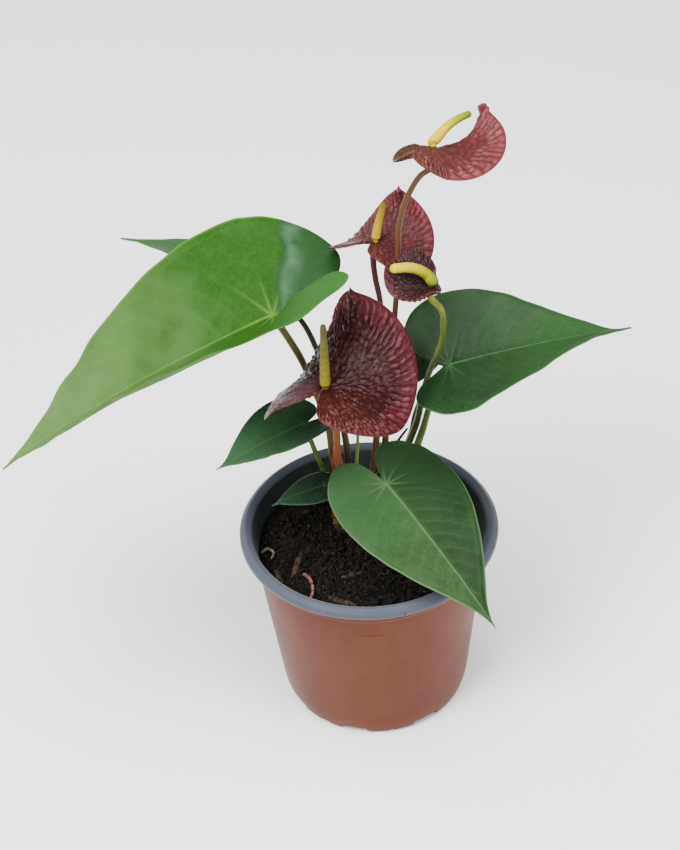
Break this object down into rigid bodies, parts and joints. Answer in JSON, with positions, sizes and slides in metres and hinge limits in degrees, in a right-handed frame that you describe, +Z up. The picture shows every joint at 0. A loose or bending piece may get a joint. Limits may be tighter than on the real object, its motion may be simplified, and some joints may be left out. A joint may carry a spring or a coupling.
{
  "type": "potted anthurium",
  "caption": "Flamingo flower plant with dark red bullate spathes and glossy heart-shaped leaves on long stalks in a round plastic nursery pot.",
  "frame": {"origin": "centre of the pot's flat underside, on the surface that it stands on", "axes": "+Z up along the pot's axis; -Y towards the side that the plant is seen from; +X to that viewer's right"},
  "size_m": [0.2837, 0.1596, 0.3005],
  "materials": {
    "pot_plastic": "terracotta-brown injection-moulded plastic with a grey rim, satin",
    "potting_mix": "damp dark peat with fibres, matt",
    "crown": "corky plant base, matt",
    "fresh_leaf": "light green, glossy",
    "leaf": "mid to dark green, glossy",
    "green_stalk": "green, satin",
    "red_stalk": "red-brown, satin",
    "spathe": "dark red, puckered and glossy",
    "spadix": "yellow-green, finely bumpy",
    "dry_sheath": "dry and papery, matt",
    "bark": "rough bark, matt",
    "root": "pale root, matt"
  },
  "bodies": {
    "root": {"nursery_pot": "pot_plastic", "potting_mix": "potting_mix", "root_crown": "crown", "leaf_left_large": "fresh_leaf", "petiole_left_large": "green_stalk", "leaf_back_left": "leaf", "petiole_back_left": "green_stalk", "leaf_left_lower": "leaf", "petiole_left_lower": "green_stalk", "leaf_left_small": "leaf", "petiole_left_small": "green_stalk", "leaf_front": "leaf", "petiole_front": "green_stalk", "leaf_right_large": "leaf", "petiole_right_large": "green_stalk", "leaf_right_small": "leaf", "petiole_right_small": "green_stalk", "spathe_front": "spathe", "spadix_front": "spadix", "peduncle_front": "red_stalk", "spathe_middle": "spathe", "spadix_middle": "spadix", "peduncle_middle": "red_stalk", "spathe_top": "spathe", "spadix_top": "spadix", "peduncle_top": "red_stalk", "spathe_right": "spathe", "spadix_right": "spadix", "peduncle_right": "red_stalk", "dry_sheath_1": "dry_sheath", "dry_sheath_2": "dry_sheath", "dry_sheath_3": "dry_sheath", "new_shoot_1": "red_stalk", "new_shoot_2": "red_stalk", "bark_chip_1": "bark", "bark_chip_2": "bark", "bark_chip_3": "bark", "bark_chip_4": "bark", "bark_chip_5": "bark", "bark_chip_6": "bark", "surface_root_1": "root", "surface_root_2": "root"}
  },
  "joints": []
}
